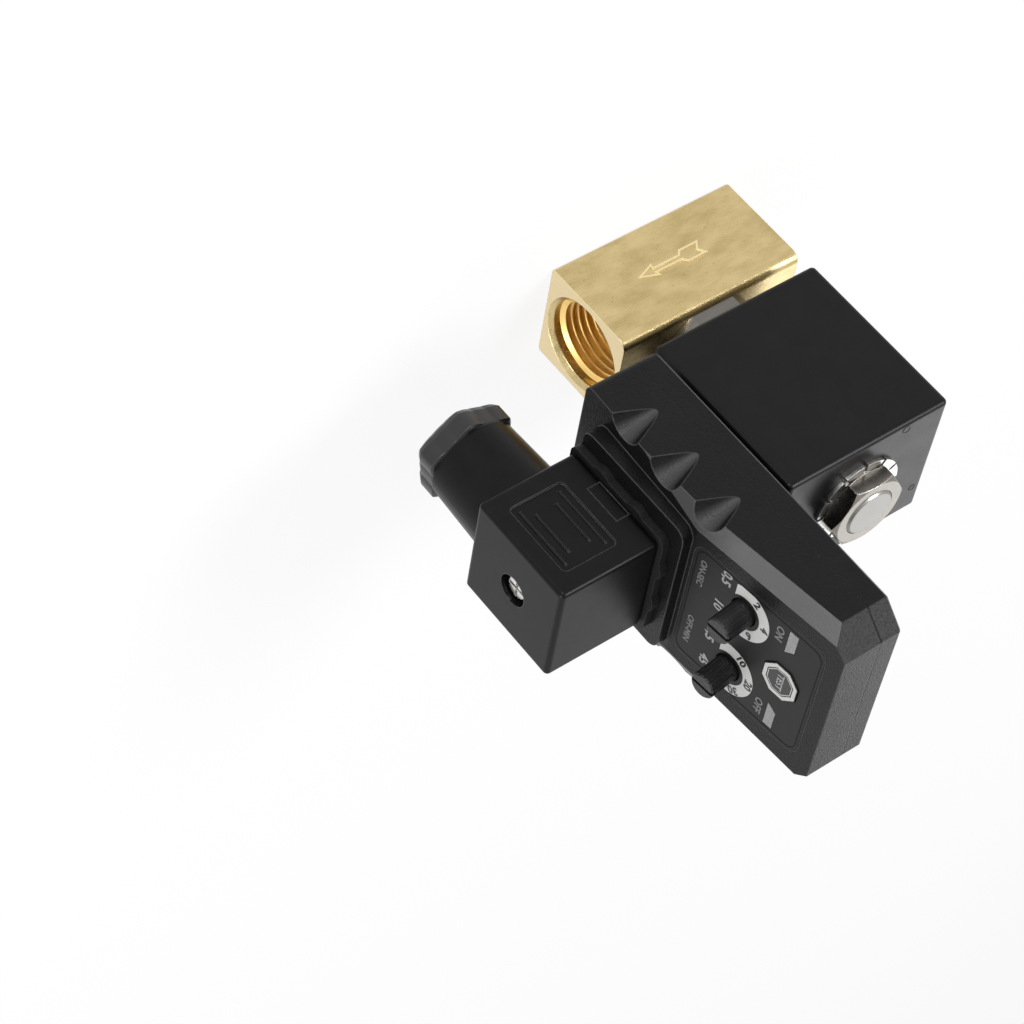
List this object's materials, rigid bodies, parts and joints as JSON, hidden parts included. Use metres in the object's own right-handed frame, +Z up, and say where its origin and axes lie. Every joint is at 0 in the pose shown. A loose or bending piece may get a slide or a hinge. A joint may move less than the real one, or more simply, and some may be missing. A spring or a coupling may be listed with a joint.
{
  "type": "automatic drain valve",
  "caption": "Solenoid drain valve: square brass body with two threaded ports, encapsulated coil, plug-on timer with two dials and test button, and cable connector.",
  "frame": {"origin": "middle of the brass body's flat bottom, under the armature tube's axis", "axes": "+Z up the armature tube, +X along the flow towards the outlet port and the timer, +Y to the left looking along +X"},
  "size_m": [0.0986, 0.0496, 0.1139],
  "materials": {
    "brass_body": "brushed bar stock, machined ends",
    "stainless_bonnet": "turned",
    "stainless_tube": "drawn",
    "core_steel": "turned ferritic stainless",
    "copper_ring": "bare copper",
    "spring_steel": "drawn wire",
    "seal_rubber": "moulded",
    "coil_moulding": "satin gloss",
    "coil_iron": "zinc plated strip",
    "winding_copper": "enamelled wire",
    "bobbin_nylon": "natural nylon",
    "tinned_blade": "tinned",
    "zinc_washer": "bright zinc",
    "nickel_nut": "bright nickel",
    "gasket_rubber": "moulded",
    "timer_case": "fine spark texture",
    "faceplate_film": "satin film",
    "knob_black": "satin gloss",
    "button_grey": "satin",
    "window_clear": "translucent grey",
    "led_clear": "tinted epoxy",
    "board_green": "solder mask",
    "component_black": "moulded",
    "socket_grey": "moulded nylon",
    "connector_black": "satin gloss",
    "gland_black": "satin",
    "plated_screw": "bright zinc",
    "washer_nylon": "natural nylon"
  },
  "bodies": {
    "valve": {"valve_body": "brass_body", "bonnet": "stainless_bonnet", "body_o_ring": "seal_rubber", "armature_tube": "stainless_tube", "fixed_core": "core_steel", "shading_ring": "copper_ring", "plunger_spring": "spring_steel", "coil_housing": "coil_moulding", "coil_base_plate": "coil_moulding", "coil_yoke": "coil_iron", "coil_bobbin": "bobbin_nylon", "coil_winding": "winding_copper", "coil_terminals": "tinned_blade", "coil_gasket": "gasket_rubber", "lock_washer": "zinc_washer", "coil_nut": "nickel_nut", "timer_rear_shell": "timer_case", "timer_front_shell": "timer_case", "timer_faceplate": "faceplate_film", "circuit_board": "board_green", "on_time_potentiometer": "component_black", "off_time_potentiometer": "component_black", "test_switch": "component_black", "on_window": "window_clear", "off_window": "window_clear", "on_led": "led_clear", "off_led": "led_clear", "timer_socket": "socket_grey", "timer_socket_contacts": "tinned_blade", "timer_plug": "socket_grey", "timer_blades": "tinned_blade", "connector_gasket": "gasket_rubber", "connector_housing": "connector_black", "connector_insert": "socket_grey", "connector_contacts": "tinned_blade", "gland_seal": "gasket_rubber", "gland_washer": "washer_nylon", "gland_nut": "gland_black", "centre_screw": "plated_screw", "screw_washer": "washer_nylon"},
    "plunger": {"plunger": "core_steel", "plunger_seal": "seal_rubber"},
    "on_time_knob": {"on_time_knob": "knob_black"},
    "off_time_knob": {"off_time_knob": "knob_black"},
    "test_button": {"test_button": "button_grey"}
  },
  "joints": [
    {"name": "plunger_lift", "type": "slide", "parent": "valve", "child": "plunger", "axis": [0, 0, 1], "range_m": [0, 0.0022], "stiffness_N_per_m": 600, "springref_m": -0.004, "deforming": ["plunger_spring"]},
    {"name": "on_time_turn", "type": "hinge", "parent": "valve", "child": "on_time_knob", "pos_m": [0.04433, -0.0095, 0.08911], "axis": [0.9944, 0, 0.1054], "range_deg": [-150, 150]},
    {"name": "off_time_turn", "type": "hinge", "parent": "valve", "child": "off_time_knob", "pos_m": [0.04433, 0.0095, 0.08911], "axis": [0.9944, 0, 0.1054], "range_deg": [-150, 150]},
    {"name": "test_press", "type": "slide", "parent": "valve", "child": "test_button", "axis": [-0.9944, 0, -0.1054], "range_m": [0, 0.0005], "stiffness_N_per_m": 800, "springref_m": -0.0005}
  ]
}
